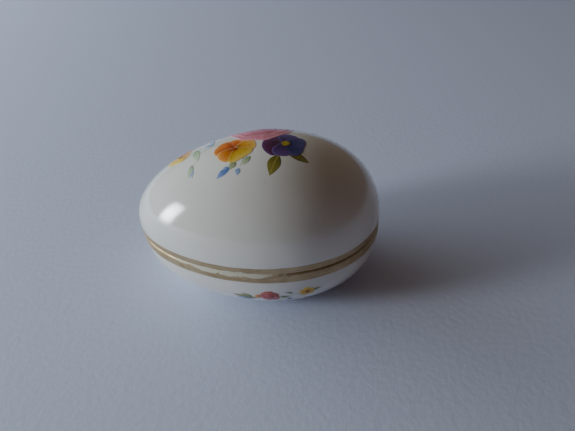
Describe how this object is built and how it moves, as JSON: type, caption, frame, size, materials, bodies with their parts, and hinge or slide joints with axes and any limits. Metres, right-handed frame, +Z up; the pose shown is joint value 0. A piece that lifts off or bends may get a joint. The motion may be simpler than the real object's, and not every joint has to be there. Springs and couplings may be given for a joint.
{
  "type": "trinket box",
  "caption": "Egg-shaped porcelain trinket box lying on its side, with gilt rims, painted flower sprays and a lid that lifts off.",
  "frame": {"origin": "on the table plane that the foot ring stands on, under the middle of the box's length and width", "axes": "+X along the egg towards its blunt end, +Y across the egg, +Z up through the crown of the lid, the way the lid lifts"},
  "size_m": [0.095, 0.0636, 0.061],
  "materials": {
    "porcelain": "clear gloss glaze over cream-white porcelain, with painted flowers under or in the glaze",
    "gilding": "thin burnished gold, worn where fingers lift the lid"
  },
  "bodies": {
    "base": {"base_bowl": "porcelain", "base_gilt_band": "gilding"},
    "lid": {"lid_dome": "porcelain", "lid_gilt_band": "gilding"}
  },
  "joints": [
    {"name": "lid_lift", "type": "slide", "parent": "base", "child": "lid", "axis": [0, 0, 1], "range_m": [0, 0.08]}
  ]
}
